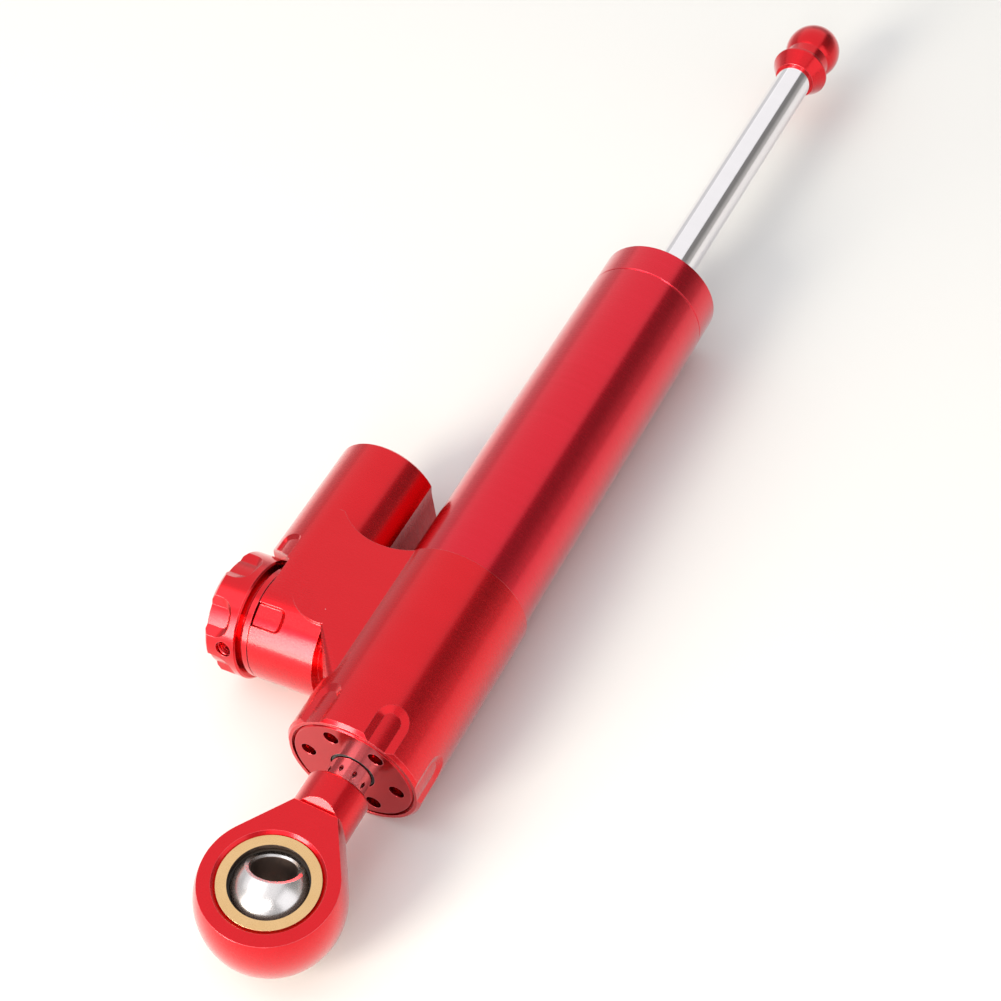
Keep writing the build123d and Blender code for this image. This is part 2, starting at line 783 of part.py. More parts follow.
def build_adjuster():
    """Gasket, collar with detent, spindle, knob with grub screw, and the metering needle."""
    gasket_end = neck_face_y + gasket_thickness
    collar_end = gasket_end + collar_thickness
    spigot_start = neck_face_y - collar_spigot_length
    spindle_start = neck_face_y - spindle_length
    add("collar_gasket", at_adjuster(
        sleeve(neck_face_y, gasket_end, collar_spigot_radius + fixed_gap, gasket_radius, Axis.Y)
    ))

    collar = turned([
        (spigot_start, spindle_radius + running_gap),
        (collar_end, spindle_radius + running_gap),
        (collar_end, side_radius - collar_edge),
        (collar_end - collar_edge, side_radius),
        (gasket_end, side_radius),
        (gasket_end, collar_spigot_radius),
        (spigot_start, collar_spigot_radius),
    ], Axis.Y)
    ball_y = collar_end - detent_ball_radius
    spring_end = ball_y - detent_ball_radius
    spring_start = spring_end - detent_spring_length
    detent_bore = detent_ball_radius + fixed_gap
    collar -= Pos(0, 0, detent_circle) * sleeve(spring_start, collar_end + overrun, 0, detent_bore, Axis.Y)
    add("adjuster_collar", at_adjuster(collar))
    add("detent_ball", at_adjuster(Pos(0, ball_y, detent_circle) * Sphere(detent_ball_radius)))
    coil_height = detent_spring_length - 2 * detent_spring_wire
    coil_radius = detent_ball_radius - detent_spring_wire
    coil = Helix(coil_height / detent_spring_coils, coil_height, coil_radius)
    wire = Plane(origin=coil @ 0, z_dir=coil % 0) * Circle(detent_spring_wire)
    spring = sweep(wire, path=coil)
    spring = Rot(-90, 0, 0) * (Pos(0, 0, detent_spring_wire) * spring)
    add("detent_spring", at_adjuster(Pos(0, spring_start, detent_circle) * spring))

    knob_face = collar_end + knob_gap
    knob_end = knob_face + knob_length
    hub_start = collar_end + running_gap
    stem_end = knob_end - knob_dish_depth - knob_wall
    spindle = turned([
        (spindle_start, 0),
        (spindle_start, spindle_radius),
        (collar_end, spindle_radius),
        (collar_end, spindle_stem_radius),
        (stem_end, spindle_stem_radius),
        (stem_end, 0),
    ], Axis.Y)
    needle_bore_end = spindle_start + needle_stem_length + needle_bore_spare
    spindle -= sleeve(
        spindle_start - overrun, needle_bore_end, 0, needle_stem_radius + running_gap, Axis.Y
    )
    ring_y = spindle_start + needle_bore_spare
    spindle = groove_and_ring("spindle_o_ring", spindle, ring_y, spindle_radius, Axis.Y, at_adjuster)
    add("adjuster_spindle", at_adjuster(spindle))

    knob = turned([
        (hub_start, 0),
        (hub_start, knob_hub_radius),
        (knob_face, knob_hub_radius),
        (knob_face, knob_radius - knob_edge / 2),
        (knob_face + knob_edge / 2, knob_radius),
        (knob_end - knob_edge, knob_radius),
        (knob_end, knob_radius - knob_edge),
        (knob_end, knob_dish_radius),
        (knob_end - knob_dish_depth, knob_dish_radius - knob_dish_depth),
        (knob_end - knob_dish_depth, 0),
    ], Axis.Y)
    knob -= sleeve(hub_start - overrun, stem_end, 0, spindle_stem_radius + fixed_gap, Axis.Y)
    scallop = Pos(0, knob_end, 0) * Rot(0, 0, -90) * pocket(
        scallop_length, scallop_end_run, scallop_floor_width, scallop_mouth_width,
        knob_radius - scallop_depth, knob_radius,
    )
    for index in range(scallop_count):
        knob -= Rot(0, scallop_phase + index * 360 / scallop_count, 0) * scallop
    for index in range(detent_dimple_count):
        dimple = Pos(0, hub_start - detent_ball_radius + detent_dimple_depth, detent_circle) * Sphere(
            detent_ball_radius
        )
        knob -= Rot(0, index * 360 / detent_dimple_count, 0) * dimple
    grub_y = knob_face + grub_from_face
    grub_frame = Rot(0, grub_angle, 0) * Pos(0, grub_y, 0)
    knob -= grub_frame * Pos(0, 0, knob_radius / 2) * Cylinder(grub_radius + fixed_gap, knob_radius + overrun)
    add("adjuster_knob", at_adjuster(knob))
    grub_start = spindle_stem_radius + fixed_gap
    grub = Pos(0, 0, grub_start + grub_length / 2) * Cylinder(grub_radius, grub_length)
    grub -= Pos(0, 0, grub_start + grub_length) * hex_socket(grub_hex_width, grub_hex_depth)
    add("knob_grub_screw", at_adjuster(grub_frame * grub))

    seat_start = spindle_start - seat_length
    add("needle_seat", at_adjuster(
        sleeve(seat_start, spindle_start, needle_radius + running_gap, seat_radius, Axis.Y)
    ))
    needle = turned([
        (needle_tip_y, 0),
        (needle_tip_y, needle_radius / 2),
        (needle_tip_y + needle_point_length, needle_radius),
        (spindle_start + overrun, needle_radius),
        (spindle_start + overrun, needle_stem_radius),
        (spindle_start + needle_stem_length, needle_stem_radius),
        (spindle_start + needle_stem_length, 0),
    ], Axis.Y)
    add("metering_needle", at_adjuster(needle))


build_rod_end()
build_bearing()
build_rod()
build_housing()
build_front_gland()
build_barrel()
build_reservoir()
build_adjuster()

os.makedirs("parts", exist_ok=True)
for name, shape in parts.items():
    export_step(shape, f"parts/{name}.step")
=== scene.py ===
"""Looks of the steering damper: studio, camera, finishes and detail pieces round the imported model.

Metres, in the part's own frame: +X runs from the rod end eye to the tail cap, +Y points to the
side with the knob, and +Z stands square to the flat top of the head.
"""
import math

import bpy
from mathutils import Matrix, Vector


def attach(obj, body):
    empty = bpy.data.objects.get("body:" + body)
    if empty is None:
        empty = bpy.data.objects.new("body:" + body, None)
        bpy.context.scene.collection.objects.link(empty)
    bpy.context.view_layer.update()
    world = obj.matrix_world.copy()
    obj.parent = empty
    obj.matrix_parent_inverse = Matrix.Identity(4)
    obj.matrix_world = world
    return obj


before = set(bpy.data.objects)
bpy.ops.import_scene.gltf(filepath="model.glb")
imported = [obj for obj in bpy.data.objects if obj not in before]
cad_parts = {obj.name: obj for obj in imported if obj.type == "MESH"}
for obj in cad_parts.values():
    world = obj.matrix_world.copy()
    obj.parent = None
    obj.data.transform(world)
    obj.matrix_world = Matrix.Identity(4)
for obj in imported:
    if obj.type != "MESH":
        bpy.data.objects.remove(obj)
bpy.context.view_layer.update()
bpy.ops.object.select_all(action="DESELECT")

MM = 0.001
scene = bpy.context.scene
scene.view_settings.view_transform = "Standard"

# Places on the damper, as the model has them
EYE_ROLL = math.radians(7.65)
BALL_TILT = math.radians(30.3)
BORE_RADIUS = 5.05 * MM
RACE_MOUTH_RADIUS = 8.95 * MM
ADJUSTER_X = 64.75 * MM
GRUB_Y = 43.1 * MM
GRUB_TURN = math.radians(-74)
GRUB_OUTER_RADIUS = 9.05 * MM
GRUB_MOUTH_RADIUS = 14.1 * MM
GRUB_HOLE_RADIUS = 2.02 * MM
THREAD_SINK = 0.06 * MM
THREAD_PITCH = 0.7 * MM
THREAD_CREST = 0.26 * MM
STEPS_NEAR = 39.5 * MM
STEPS_FAR = 41.5 * MM
STEPS_BESIDE = 9 * MM
STEPS_CLEAR = 11 * MM
LAMP_AIM_X = 60 * MM
EDGE_ROUND = 0.2 * MM
CARD_CENTRE = (1.55, -0.68, 0.44)
RACE_TURN = (EYE_ROLL, 0, 0)
FLOOR_Z = -17.0 * MM


# Shader building

def add_node(tree, kind, place, **settings):
    """One shader node with its settings; a key that starts with in_ fills the socket of that number."""
    node = tree.nodes.new(kind)
    node.location = place
    for key, value in settings.items():
        if key.startswith("in_"):
            node.inputs[int(key[3:])].default_value = value
        else:
            setattr(node, key, value)
    return node


def new_group(name, inputs, outputs):
    """An empty node group with named sockets, and its two end nodes."""
    group = bpy.data.node_groups.new(name, "ShaderNodeTree")
    for label, kind, value in inputs:
        socket = group.interface.new_socket(label, in_out="INPUT", socket_type=kind)
        if value is not None:
            socket.default_value = value
    for label, kind in outputs:
        group.interface.new_socket(label, in_out="OUTPUT", socket_type=kind)
    start = add_node(group, "NodeGroupInput", (-900, 0))
    end = add_node(group, "NodeGroupOutput", (700, 0))
    return group, start, end


FLOAT = "NodeSocketFloat"
VECTOR = "NodeSocketVector"


def build_tool_marks():
    """Fine cutter marks: noise pulled out along the cut, broken by a slower streak."""
    group, start, end = new_group(
        "tool marks",
        [("Place", VECTOR, None), ("Stretch", VECTOR, (1, 1, 1)), ("Speckle", FLOAT, 0.3)],
        [("Height", FLOAT), ("Streak", FLOAT)],
    )
    link = group.links.new
    pulled = add_node(group, "ShaderNodeVectorMath", (-700, 100), operation="MULTIPLY")
    link(start.outputs["Place"], pulled.inputs[0])
    link(start.outputs["Stretch"], pulled.inputs[1])
    fine = add_node(group, "ShaderNodeTexNoise", (-480, 160), in_2=1.0, in_3=3.0, in_4=0.6)
    link(pulled.outputs[0], fine.inputs["Vector"])
    slow_place = add_node(group, "ShaderNodeVectorMath", (-480, -120), operation="SCALE")
    slow_place.inputs["Scale"].default_value = 0.13
    link(pulled.outputs[0], slow_place.inputs[0])
    slow = add_node(group, "ShaderNodeTexNoise", (-300, -120), in_2=1.0, in_3=2.0, in_4=0.5)
    link(slow_place.outputs[0], slow.inputs["Vector"])
    speck = add_node(group, "ShaderNodeTexNoise", (-300, -360), in_2=5200.0, in_3=1.0, in_4=0.5)
    link(start.outputs["Place"], speck.inputs["Vector"])
    mixed = add_node(group, "ShaderNodeMix", (0, 60), data_type="FLOAT")
    link(start.outputs["Speckle"], mixed.inputs[0])
    link(fine.outputs[0], mixed.inputs[2])
    link(speck.outputs[0], mixed.inputs[3])
    link(mixed.outputs[0], end.inputs["Height"])
    link(slow.outputs[0], end.inputs["Streak"])
    return group


def build_highlighted_edges():
    """Normals rounded over at the edges, and a mask that is one on them, where a lighter colour is painted on
    as a highlight.
    """
    group, start, end = new_group(
        "highlighted edges",
        [("Round", FLOAT, 0.0002)],
        [("Normal", VECTOR), ("Edge", FLOAT)],
    )
    link = group.links.new
    rounded = add_node(group, "ShaderNodeBevel", (-600, 100), samples=6)
    link(start.outputs["Round"], rounded.inputs["Radius"])
    flat = add_node(group, "ShaderNodeNewGeometry", (-600, -120))
    likeness = add_node(group, "ShaderNodeVectorMath", (-380, 0), operation="DOT_PRODUCT")
    link(rounded.outputs[0], likeness.inputs[0])
    link(flat.outputs["Normal"], likeness.inputs[1])
    mask = add_node(group, "ShaderNodeMapRange", (-180, 0), in_1=0.995, in_2=0.9, in_3=0.0, in_4=1.0)
    link(likeness.outputs["Value"], mask.inputs[0])
    link(rounded.outputs[0], end.inputs["Normal"])
    link(mask.outputs[0], end.inputs["Edge"])
    return group


def build_dust():
    """A few tiny specks of lint, as a mask."""
    group, start, end = new_group(
        "dust specks",
        [("Place", VECTOR, None), ("Share", FLOAT, 0.03)],
        [("Speck", FLOAT)],
    )
    link = group.links.new
    cells = add_node(group, "ShaderNodeTexVoronoi", (-600, 100), in_2=420.0)
    link(start.outputs["Place"], cells.inputs["Vector"])
    near = add_node(group, "ShaderNodeMapRange", (-360, 100), in_1=0.05, in_2=0.025, in_3=0.0, in_4=1.0)
    link(cells.outputs["Distance"], near.inputs[0])
    pick = add_node(group, "ShaderNodeSeparateColor", (-360, -120))
    link(cells.outputs["Color"], pick.inputs[0])
    chosen = add_node(group, "ShaderNodeMath", (-160, -120), operation="LESS_THAN")
    link(pick.outputs[0], chosen.inputs[0])
    link(start.outputs["Share"], chosen.inputs[1])
    both = add_node(group, "ShaderNodeMath", (60, 0), operation="MULTIPLY")
    link(near.outputs[0], both.inputs[0])
    link(chosen.outputs[0], both.inputs[1])
    link(both.outputs[0], end.inputs["Speck"])
    return group


def build_turned_rings():
    """Fine rings of a facing cut, round the place's Z axis, as a height."""
    group, start, end = new_group(
        "turned rings",
        [("Place", VECTOR, None), ("Pitch", FLOAT, 900.0)],
        [("Height", FLOAT)],
    )
    link = group.links.new
    rings = add_node(group, "ShaderNodeTexWave", (-300, 0), wave_type="RINGS", rings_direction="Z", in_2=1.5,
                     in_3=2.0, in_4=3.0)
    link(start.outputs["Place"], rings.inputs["Vector"])
    link(start.outputs["Pitch"], rings.inputs["Scale"])
    link(rings.outputs["Fac"], end.inputs["Height"])
    return group


def build_drilled_bore():
    """A mask that is one inside a bore round the place's Z axis."""
    group, start, end = new_group(
        "drilled bore",
        [("Place", VECTOR, None), ("Radius", FLOAT, 0.005)],
        [("Inside", FLOAT)],
    )
    link = group.links.new
    across = add_node(group, "ShaderNodeVectorMath", (-600, 0), operation="MULTIPLY")
    across.inputs[1].default_value = (1, 1, 0)
    link(start.outputs["Place"], across.inputs[0])
    reach = add_node(group, "ShaderNodeVectorMath", (-400, 0), operation="LENGTH")
    link(across.outputs[0], reach.inputs[0])
    inside = add_node(group, "ShaderNodeMath", (-200, 0), operation="LESS_THAN")
    link(reach.outputs["Value"], inside.inputs[0])
    link(start.outputs["Radius"], inside.inputs[1])
    link(inside.outputs[0], end.inputs["Inside"])
    return group


def build_milled_steps():
    """Cutter steps across X on the web's slanting front edge, faded out away from it, as a height."""
    group, start, end = new_group(
        "milled steps",
        [("Place", VECTOR, None), ("Pitch", FLOAT, 1.0), ("Low", FLOAT, 0.0), ("High", FLOAT, 1.0)],
        [("Height", FLOAT)],
    )
    link = group.links.new
    steps = add_node(group, "ShaderNodeTexWave", (-500, 160), wave_type="BANDS", bands_direction="X",
                     wave_profile="SAW", in_2=0.6, in_3=2.0, in_4=4.0)
    link(start.outputs["Place"], steps.inputs["Vector"])
    link(start.outputs["Pitch"], steps.inputs["Scale"])
    parts = add_node(group, "ShaderNodeSeparateXYZ", (-700, -160))
    link(start.outputs["Place"], parts.inputs[0])
    slant = add_node(group, "ShaderNodeMath", (-500, -160), operation="SUBTRACT")
    link(parts.outputs[0], slant.inputs[0])
    link(parts.outputs[1], slant.inputs[1])
    near = add_node(group, "ShaderNodeMapRange", (-300, -160), in_3=1.0, in_4=0.0)
    link(slant.outputs[0], near.inputs[0])
    link(start.outputs["Low"], near.inputs[1])
    link(start.outputs["High"], near.inputs[2])
    beside = add_node(group, "ShaderNodeMapRange", (-300, -400), in_1=STEPS_BESIDE, in_2=STEPS_CLEAR)
    link(parts.outputs[1], beside.inputs[0])
    zone = add_node(group, "ShaderNodeMath", (-100, -240), operation="MULTIPLY")
    link(near.outputs[0], zone.inputs[0])
    link(beside.outputs[0], zone.inputs[1])
    masked = add_node(group, "ShaderNodeMath", (100, 0), operation="MULTIPLY")
    link(steps.outputs["Fac"], masked.inputs[0])
    link(zone.outputs[0], masked.inputs[1])
    link(masked.outputs[0], end.inputs["Height"])
    return group


TOOL_MARKS = build_tool_marks()
HIGHLIGHTED_EDGES = build_highlighted_edges()
DUST = build_dust()
TURNED_RINGS = build_turned_rings()
DRILLED_BORE = build_drilled_bore()
MILLED_STEPS = build_milled_steps()


def place_group(tree, group, place, **values):
    """A group in a material, with its own values on its named inputs."""
    node = add_node(tree, "ShaderNodeGroup", place, node_tree=group)
    for label, value in values.items():
        node.inputs[label].default_value = value
    return node


def metal(name, colour, shade, edge_highlight_colour, roughness, roughness_swing, stretch, speckle, depth, edge_round,
          coat=0.0, coat_ior=1.5, coat_roughness=0.1, turn=(0, 0, 0), dust_share=0.0):
    """A machined metal: cutter marks, a darker streak, a lighter colour painted on the edges as a highlight,
    and a little lint.
    """
    material = bpy.data.materials.new(name)
    material.use_nodes = True
    tree = material.node_tree
    link = tree.links.new
    shader = tree.nodes["Principled BSDF"]
    shader.inputs["Metallic"].default_value = 1.0
    shader.inputs["Coat Weight"].default_value = coat
    shader.inputs["Coat IOR"].default_value = coat_ior
    shader.inputs["Coat Roughness"].default_value = coat_roughness

    where = add_node(tree, "ShaderNodeTexCoord", (-1500, 0))
    turned = add_node(tree, "ShaderNodeMapping", (-1300, 0), vector_type="TEXTURE")
    turned.inputs["Rotation"].default_value = turn
    link(where.outputs["Object"], turned.inputs["Vector"])

    marks = place_group(tree, TOOL_MARKS, (-1050, 100), Stretch=stretch, Speckle=speckle)
    link(turned.outputs[0], marks.inputs["Place"])
    edges = place_group(tree, HIGHLIGHTED_EDGES, (-1050, -160), Round=edge_round)
    specks = place_group(tree, DUST, (-1050, -360), Share=dust_share)
    link(turned.outputs[0], specks.inputs["Place"])

    body = add_node(tree, "ShaderNodeMix", (-760, 260), data_type="RGBA")
    body.inputs[6].default_value = (*colour, 1)
    body.inputs[7].default_value = (*shade, 1)
    link(marks.outputs["Streak"], body.inputs[0])
    # Painted highlight: the edge mask lays a lighter colour along every edge.
    highlighted = add_node(tree, "ShaderNodeMix", (-540, 260), data_type="RGBA")
    highlighted.inputs[7].default_value = (*edge_highlight_colour, 1)
    link(edges.outputs["Edge"], highlighted.inputs[0])
    link(body.outputs[2], highlighted.inputs[6])
    dusty = add_node(tree, "ShaderNodeMix", (-320, 260), data_type="RGBA")
    dusty.inputs[7].default_value = (0.85, 0.8, 0.78, 1)
    link(specks.outputs["Speck"], dusty.inputs[0])
    link(highlighted.outputs[2], dusty.inputs[6])
    link(dusty.outputs[2], shader.inputs["Base Color"])

    swing = add_node(tree, "ShaderNodeMapRange", (-760, 0), in_1=0.3, in_2=0.7,
                     in_3=roughness - roughness_swing, in_4=roughness + roughness_swing)
    link(marks.outputs["Height"], swing.inputs[0])
    link(swing.outputs[0], shader.inputs["Roughness"])

    bump = add_node(tree, "ShaderNodeBump", (-540, -160))
    bump.inputs["Strength"].default_value = 1.0
    bump.inputs["Distance"].default_value = depth
    link(marks.outputs["Height"], bump.inputs["Height"])
    link(edges.outputs["Normal"], bump.inputs["Normal"])
    link(bump.outputs[0], shader.inputs["Normal"])
    return material


def add_height(material, group, depth, turn=(0, 0, 0), **values):
    """Lay a second height, made by a group, over a metal's cutter marks."""
    tree = material.node_tree
    link = tree.links.new
    shader = tree.nodes["Principled BSDF"]
    marks = shader.inputs["Normal"].links[0].from_socket
    where = add_node(tree, "ShaderNodeTexCoord", (-1500, -700))
    turned = add_node(tree, "ShaderNodeMapping", (-1300, -700), vector_type="TEXTURE")
    turned.inputs["Rotation"].default_value = turn
    link(where.outputs["Object"], turned.inputs["Vector"])
    relief = place_group(tree, group, (-1050, -700), **values)
    link(turned.outputs[0], relief.inputs["Place"])
    bump = add_node(tree, "ShaderNodeBump", (-320, -420))
    bump.inputs["Distance"].default_value = depth
    link(relief.outputs["Height"], bump.inputs["Height"])
    link(marks, bump.inputs["Normal"])
    link(bump.outputs[0], shader.inputs["Normal"])


def paint_shade_in_bore(material, turn, radius, colour, roughness):
    """Paint shade into the inside of a bore: darker and rougher than the metal round it."""
    tree = material.node_tree
    link = tree.links.new
    shader = tree.nodes["Principled BSDF"]
    where = add_node(tree, "ShaderNodeTexCoord", (-1500, -1000))
    turned = add_node(tree, "ShaderNodeMapping", (-1300, -1000), vector_type="TEXTURE")
    turned.inputs["Rotation"].default_value = turn
    link(where.outputs["Object"], turned.inputs["Vector"])
    bore = place_group(tree, DRILLED_BORE, (-1050, -1000), Radius=radius)
    link(turned.outputs[0], bore.inputs["Place"])
    body = add_node(tree, "ShaderNodeMix", (-120, 260), data_type="RGBA")
    body.inputs[7].default_value = (*colour, 1)
    link(bore.outputs["Inside"], body.inputs[0])
    link(shader.inputs["Base Color"].links[0].from_socket, body.inputs[6])
    link(body.outputs[2], shader.inputs["Base Color"])
    rough = add_node(tree, "ShaderNodeMix", (-120, 0), data_type="FLOAT", in_3=roughness)
    link(bore.outputs["Inside"], rough.inputs[0])
    link(shader.inputs["Roughness"].links[0].from_socket, rough.inputs[2])
    link(rough.outputs[0], shader.inputs["Roughness"])


def soft_stuff(name, colour, shade, roughness, grain, depth):
    """Rubber or plastic with a fine even grain."""
    material = bpy.data.materials.new(name)
    material.use_nodes = True
    tree = material.node_tree
    link = tree.links.new
    shader = tree.nodes["Principled BSDF"]
    where = add_node(tree, "ShaderNodeTexCoord", (-1200, 0))
    marks = place_group(tree, TOOL_MARKS, (-950, 0), Stretch=(grain, grain, grain), Speckle=0.5)
    link(where.outputs["Object"], marks.inputs["Place"])
    body = add_node(tree, "ShaderNodeMix", (-600, 200), data_type="RGBA")
    body.inputs[6].default_value = (*colour, 1)
    body.inputs[7].default_value = (*shade, 1)
    link(marks.outputs["Streak"], body.inputs[0])
    link(body.outputs[2], shader.inputs["Base Color"])
    swing = add_node(tree, "ShaderNodeMapRange", (-600, 0), in_1=0.3, in_2=0.7, in_3=roughness - 0.08,
                     in_4=roughness + 0.08)
    link(marks.outputs["Height"], swing.inputs[0])
    link(swing.outputs[0], shader.inputs["Roughness"])
    bump = add_node(tree, "ShaderNodeBump", (-400, -200))
    bump.inputs["Distance"].default_value = depth
    link(marks.outputs["Height"], bump.inputs["Height"])
    link(bump.outputs[0], shader.inputs["Normal"])
    return material


# Finishes

RED = (0.73, 0.005, 0.014)
RED_SHADE = (0.68, 0.004, 0.011)
BARREL_RED = (0.74, 0.009, 0.03)
BARREL_SHADE = (0.69, 0.006, 0.022)
# Darker reds for the gland: painted shade on its front face, in both its body and streak tones.
GLAND_RED = (0.6, 0.004, 0.012)
GLAND_SHADE = (0.5, 0.003, 0.01)
# A lighter red painted on the edges as a highlight.
RED_EDGE_HIGHLIGHT = (0.88, 0.13, 0.15)


def red_anodised(name, stretch, speckle=0.25, roughness=0.26, swing=0.05, depth=2e-6, turn=(0, 0, 0),
                 dust=0.0, colour=RED, shade=RED_SHADE, skin=1.0, skin_roughness=0.16):
    """Red anodised aluminium under its thin clear skin."""
    return metal(name, colour, shade, RED_EDGE_HIGHLIGHT, roughness, swing, stretch, speckle, depth, EDGE_ROUND,
                 coat=skin, coat_ior=1.34, coat_roughness=skin_roughness, turn=turn, dust_share=dust)


about_x = (5200, 90, 90)
about_y = (90, 5200, 90)

# The third colour of each metal below is its painted edge highlight.
finishes = {
    "anodised barrel": red_anodised("anodised barrel", about_x, 0.45, 0.25, 0.06, 3e-6, dust=0.006,
                                    colour=BARREL_RED, shade=BARREL_SHADE),
    "anodised head": red_anodised("anodised head", (1500, 300, 300), 0.6, 0.27, 0.05, 1e-6, dust=0.02),
    "anodised turned": red_anodised("anodised turned", about_x, 0.3, 0.25, 0.05, 2e-6),
    # Gland in the darker reds: painted shade on its front face.
    "anodised gland": red_anodised("anodised gland", (90, 1400, 1400), 0.6, 0.2, 0.04, 1e-6,
                                   colour=GLAND_RED, shade=GLAND_SHADE, skin=0.5, skin_roughness=0.12),
    "anodised knob": red_anodised("anodised knob", about_y, 0.2, 0.24, 0.05, 3e-6),
    "anodised eye": red_anodised("anodised eye", (1200, 1200, 1200), 0.7, 0.3, 0.05, 1e-6, turn=RACE_TURN),
    "chromed rod": metal("chromed rod", (0.92, 0.89, 0.91), (0.86, 0.83, 0.85), (0.9, 0.9, 0.9), 0.12, 0.04,
                         (1500, 60, 60), 0.1, 3e-7, 0.1 * MM),
    "polished ball": metal("polished ball", (0.80, 0.77, 0.78), (0.70, 0.67, 0.67), (0.9, 0.88, 0.88), 0.27,
                           0.04, (900, 900, 900), 0.5, 6e-7, 0.2 * MM),
    "brass race": metal("brass race", (0.82, 0.55, 0.28), (0.72, 0.45, 0.20), (0.9, 0.68, 0.4), 0.3, 0.08,
                        (1600, 1600, 200), 0.5, 2e-6, 0.12 * MM, turn=RACE_TURN),
    "bronze bush": metal("bronze bush", (0.55, 0.36, 0.2), (0.45, 0.28, 0.15), (0.7, 0.5, 0.3), 0.38, 0.08,
                         (2000, 2000, 2000), 0.6, 2e-6, 0.1 * MM),
    "plain steel": metal("plain steel", (0.56, 0.56, 0.57), (0.48, 0.48, 0.49), (0.7, 0.7, 0.7), 0.28, 0.06,
                         about_y, 0.3, 1e-6, 0.1 * MM),
    "black steel": metal("black steel", (0.06, 0.055, 0.055), (0.04, 0.04, 0.04), (0.2, 0.2, 0.2), 0.35, 0.06,
                         (2500, 2500, 2500), 0.4, 1e-6, 0.1 * MM),
    "turned aluminium": metal("turned aluminium", (0.75, 0.76, 0.78), (0.66, 0.67, 0.69), (0.85, 0.85, 0.86),
                              0.25, 0.05, about_x, 0.3, 1e-6, 0.1 * MM),
    "black rubber": soft_stuff("black rubber", (0.035, 0.033, 0.033), (0.02, 0.02, 0.02), 0.55, 1500, 4e-6),
    "slippery liner": soft_stuff("slippery liner", (0.035, 0.025, 0.02), (0.02, 0.015, 0.012), 0.5, 2500,
                                 3e-6),
}

add_height(finishes["brass race"], TURNED_RINGS, 2.5e-6, RACE_TURN, Pitch=900)
add_height(finishes["anodised head"], MILLED_STEPS, 3e-5, Pitch=520, Low=STEPS_NEAR, High=STEPS_FAR)
# Painted shade inside the race's mouth and inside the ball's bore.
paint_shade_in_bore(finishes["brass race"], RACE_TURN, RACE_MOUTH_RADIUS, (0.15, 0.11, 0.09), 0.45)
paint_shade_in_bore(finishes["polished ball"], (0, BALL_TILT, 0), BORE_RADIUS, (0.2, 0.15, 0.13), 0.5)

finish_of_node = {
    "adjuster_collar": "anodised knob",
    "adjuster_knob": "anodised knob",
    "adjuster_spindle": "plain steel",
    "ball": "polished ball",
    "barrel_tube": "anodised barrel",
    "bearing_liner": "slippery liner",
    "bearing_race": "brass race",
    "bleed_screw": "black steel",
    "collar_gasket": "black rubber",
    "detent_ball": "polished ball",
    "detent_spring": "plain steel",
    "front_gland": "anodised gland",
    "front_guide_bush": "bronze bush",
    "front_o_ring": "black rubber",
    "front_rod_seal": "black rubber",
    "front_wiper": "black rubber",
    "housing": "anodised head",
    "knob_grub_screw": "black steel",
    "metering_needle": "plain steel",
    "needle_seat": "brass race",
    "piston": "turned aluminium",
    "piston_clips": "plain steel",
    "piston_ring": "slippery liner",
    "piston_rod": "chromed rod",
    "rear_cap": "anodised barrel",
    "rear_guide_bush": "bronze bush",
    "rear_o_ring": "black rubber",
    "rear_rod_seal": "black rubber",
    "rear_wiper": "black rubber",
    "reservoir_cap": "anodised turned",
    "reservoir_o_ring": "black rubber",
    "rod_end_cap": "anodised turned",
    "rod_end_eye": "anodised eye",
    "separator_o_ring": "black rubber",
    "separator_piston": "turned aluminium",
    "spindle_o_ring": "black rubber",
}

for node_name, finish_name in finish_of_node.items():
    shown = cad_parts[node_name].data
    shown.materials.clear()
    shown.materials.append(finishes[finish_name])


# Detail pieces

def screw_thread(name, body, finish, thread_radius, start, length, pitch, crest, place):
    """A thread's ridge on the wall of a hole, built round Z and carried to its place."""
    bpy.ops.object.select_all(action="DESELECT")
    bpy.ops.mesh.primitive_circle_add(vertices=3, radius=crest, fill_type="NOTHING",
                                      location=(thread_radius, 0, start), rotation=(math.pi / 2, 0, 0))
    thread = bpy.context.object
    thread.name = name
    bpy.ops.object.transform_apply(location=True, rotation=True, scale=True)
    turns = thread.modifiers.new("turns", "SCREW")
    turns.axis = "Z"
    turns.screw_offset = pitch
    turns.iterations = int(length / pitch)
    turns.steps = 40
    turns.render_steps = 40
    turns.use_merge_vertices = False
    bpy.ops.object.modifier_apply(modifier="turns")
    bpy.ops.object.mode_set(mode="EDIT")
    bpy.ops.mesh.select_all(action="SELECT")
    bpy.ops.mesh.remove_doubles(threshold=0.001 * MM)
    bpy.ops.mesh.fill_holes(sides=3)
    bpy.ops.mesh.normals_make_consistent(inside=False)
    bpy.ops.object.mode_set(mode="OBJECT")
    bpy.ops.object.shade_smooth_by_angle(angle=math.radians(40))
    thread.matrix_world = place
    bpy.ops.object.transform_apply(location=True, rotation=True, scale=True)
    thread.data.materials.append(finishes[finish])
    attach(thread, body)
    return thread


grub_place = Matrix.Translation((ADJUSTER_X, GRUB_Y, 0)) @ Matrix.Rotation(GRUB_TURN, 4, "Y")
screw_thread("grub_hole_thread", "knob", "anodised knob", GRUB_HOLE_RADIUS - THREAD_SINK, GRUB_OUTER_RADIUS,
             GRUB_MOUTH_RADIUS - GRUB_OUTER_RADIUS, THREAD_PITCH, THREAD_CREST, grub_place)


# Studio: pale floor, soft lamps overhead and round the head, and a dark card to one side

def lamp(name, centre, aim, width, height, radiance, colour=(1, 1, 1)):
    """A soft lamp that faces its aim; its radiance is what a mirror would show."""
    light = bpy.data.lights.new(name, "AREA")
    light.shape = "RECTANGLE"
    light.size = width
    light.size_y = height
    light.energy = radiance * math.pi * width * height
    light.color = colour
    holder = bpy.data.objects.new(name, light)
    scene.collection.objects.link(holder)
    facing = Vector(aim) - Vector(centre)
    holder.location = centre
    holder.rotation_mode = "QUATERNION"
    holder.rotation_quaternion = facing.to_track_quat("-Z", "Y")
    holder.visible_camera = False
    return holder


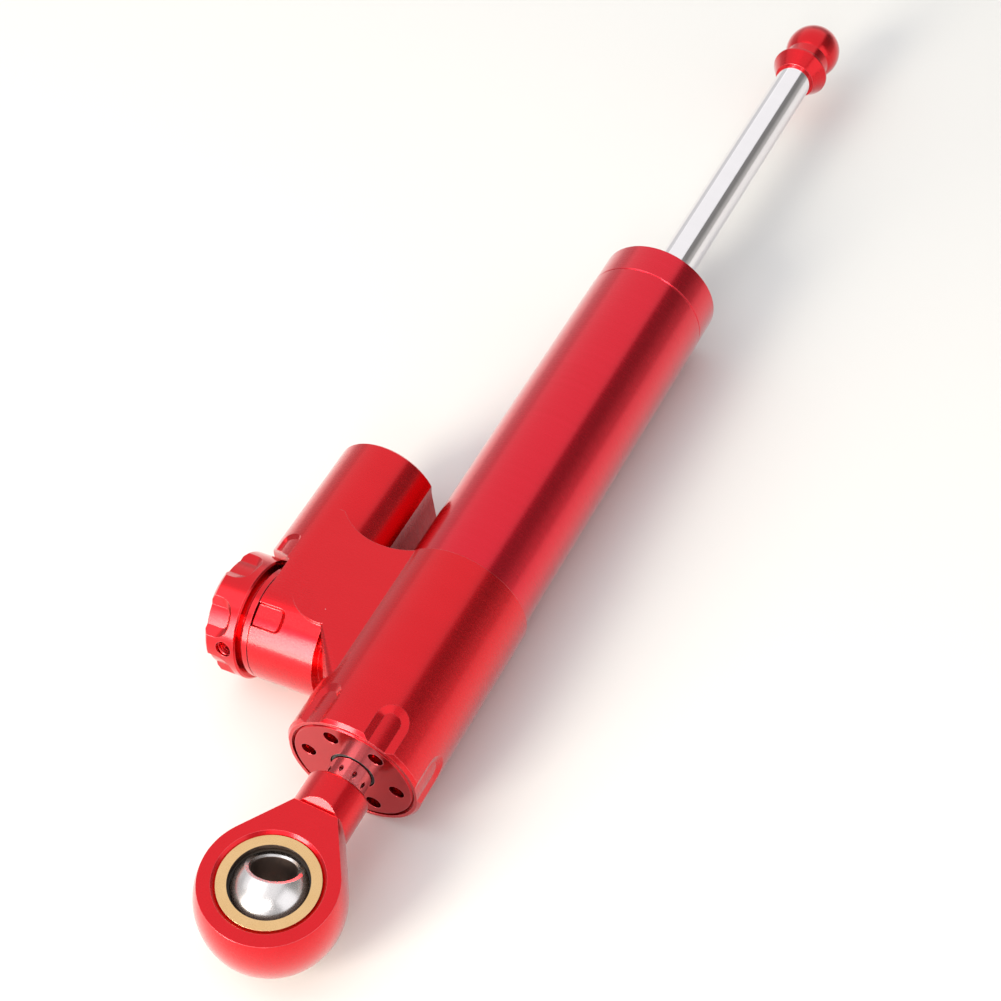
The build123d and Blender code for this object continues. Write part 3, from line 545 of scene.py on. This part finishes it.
def lamp_round_head(name, azimuth, elevation, distance, width, height, radiance, colour=(1, 1, 1)):
    """A soft lamp seen from the head at an azimuth from +X towards +Y and a height, in degrees."""
    head = Vector((LAMP_AIM_X, 0, 0))
    turn = math.radians(azimuth)
    rise = math.radians(elevation)
    heading = Vector((math.cos(rise) * math.cos(turn), math.cos(rise) * math.sin(turn), math.sin(rise)))
    return lamp(name, head + distance * heading, head, width, height, radiance, colour)


lamp("overhead lamp", (0.95, 0.5, 0.9), (0.95, 0.5, 0), 2.9, 2.3, 0.5)
lamp("overhead panel", (-0.18, 0.4, 0.88), (-0.18, 0.4, 0), 0.48, 0.8, 1.1)
lamp_round_head("front lamp", 158.5, 22, 1.15, 0.42, 0.84, 19.0, (1.0, 0.92, 0.76))
lamp_round_head("front kicker", 204, 38, 1.15, 0.24, 0.22, 8.0, (1.0, 0.95, 0.9))
lamp_round_head("front screen", 168, 34, 1.2, 1.55, 1.05, 0.75)
lamp_round_head("side screen", 265, 24, 1.1, 0.95, 0.95, 0.8)
lamp_round_head("far screen", 55, 11, 1.6, 2.2, 0.65, 0.2)


def studio_card(name, low_colour, high_colour, low, high):
    """A matt card that darkens towards its top."""
    material = bpy.data.materials.new(name)
    material.use_nodes = True
    tree = material.node_tree
    link = tree.links.new
    shader = tree.nodes["Principled BSDF"]
    shader.inputs["Roughness"].default_value = 0.9
    where = add_node(tree, "ShaderNodeTexCoord", (-900, 0))
    parts = add_node(tree, "ShaderNodeSeparateXYZ", (-700, 0))
    link(where.outputs["Object"], parts.inputs[0])
    rise = add_node(tree, "ShaderNodeMapRange", (-500, 0), in_1=low, in_2=high)
    link(parts.outputs[2], rise.inputs[0])
    body = add_node(tree, "ShaderNodeMix", (-300, 0), data_type="RGBA")
    body.inputs[6].default_value = (*low_colour, 1)
    body.inputs[7].default_value = (*high_colour, 1)
    link(rise.outputs[0], body.inputs[0])
    link(body.outputs[2], shader.inputs["Base Color"])
    return material


def plain_matt(name, colour, roughness=0.9):
    """A studio surface with a faint even mottle."""
    return soft_stuff(name, colour, tuple(0.985 * part for part in colour), roughness, 6, 0.0)


bpy.ops.mesh.primitive_plane_add(size=12, location=(0, 0, FLOOR_Z))
floor = bpy.context.object
floor.name = "floor"
floor.data.materials.append(plain_matt("pale floor", (0.72, 0.72, 0.72)))

bpy.ops.mesh.primitive_plane_add(size=1, location=CARD_CENTRE)
card = bpy.context.object
card.name = "dark card"
bpy.ops.transform.resize(value=(2.5, 0.9, 1))
bpy.ops.transform.rotate(value=math.pi / 2, orient_axis="X", center_override=CARD_CENTRE)
bpy.ops.object.transform_apply(location=True, rotation=True, scale=True)
card.data.materials.append(studio_card("dark cloth", (0.5, 0.5, 0.5), (0.2, 0.2, 0.2), 0.05, 0.35))
card.visible_camera = False

world = bpy.data.worlds.new("studio")
scene.world = world
world.use_nodes = True
world.node_tree.nodes["Background"].inputs["Color"].default_value = (1, 1, 1, 1)
world.node_tree.nodes["Background"].inputs["Strength"].default_value = 0.5

# Camera, at the photograph's viewing angle
camera_data = bpy.data.cameras.new("camera")
camera_data.lens = 78.7
camera_data.sensor_width = 36.0
camera_data.clip_start = 0.01
camera_data.clip_end = 30.0
camera = bpy.data.objects.new("camera", camera_data)
scene.collection.objects.link(camera)
camera.location = (-0.17628, -0.19558, 0.39582)
camera.rotation_euler = (math.radians(41.65), math.radians(6.409), math.radians(-62.836))
scene.camera = camera
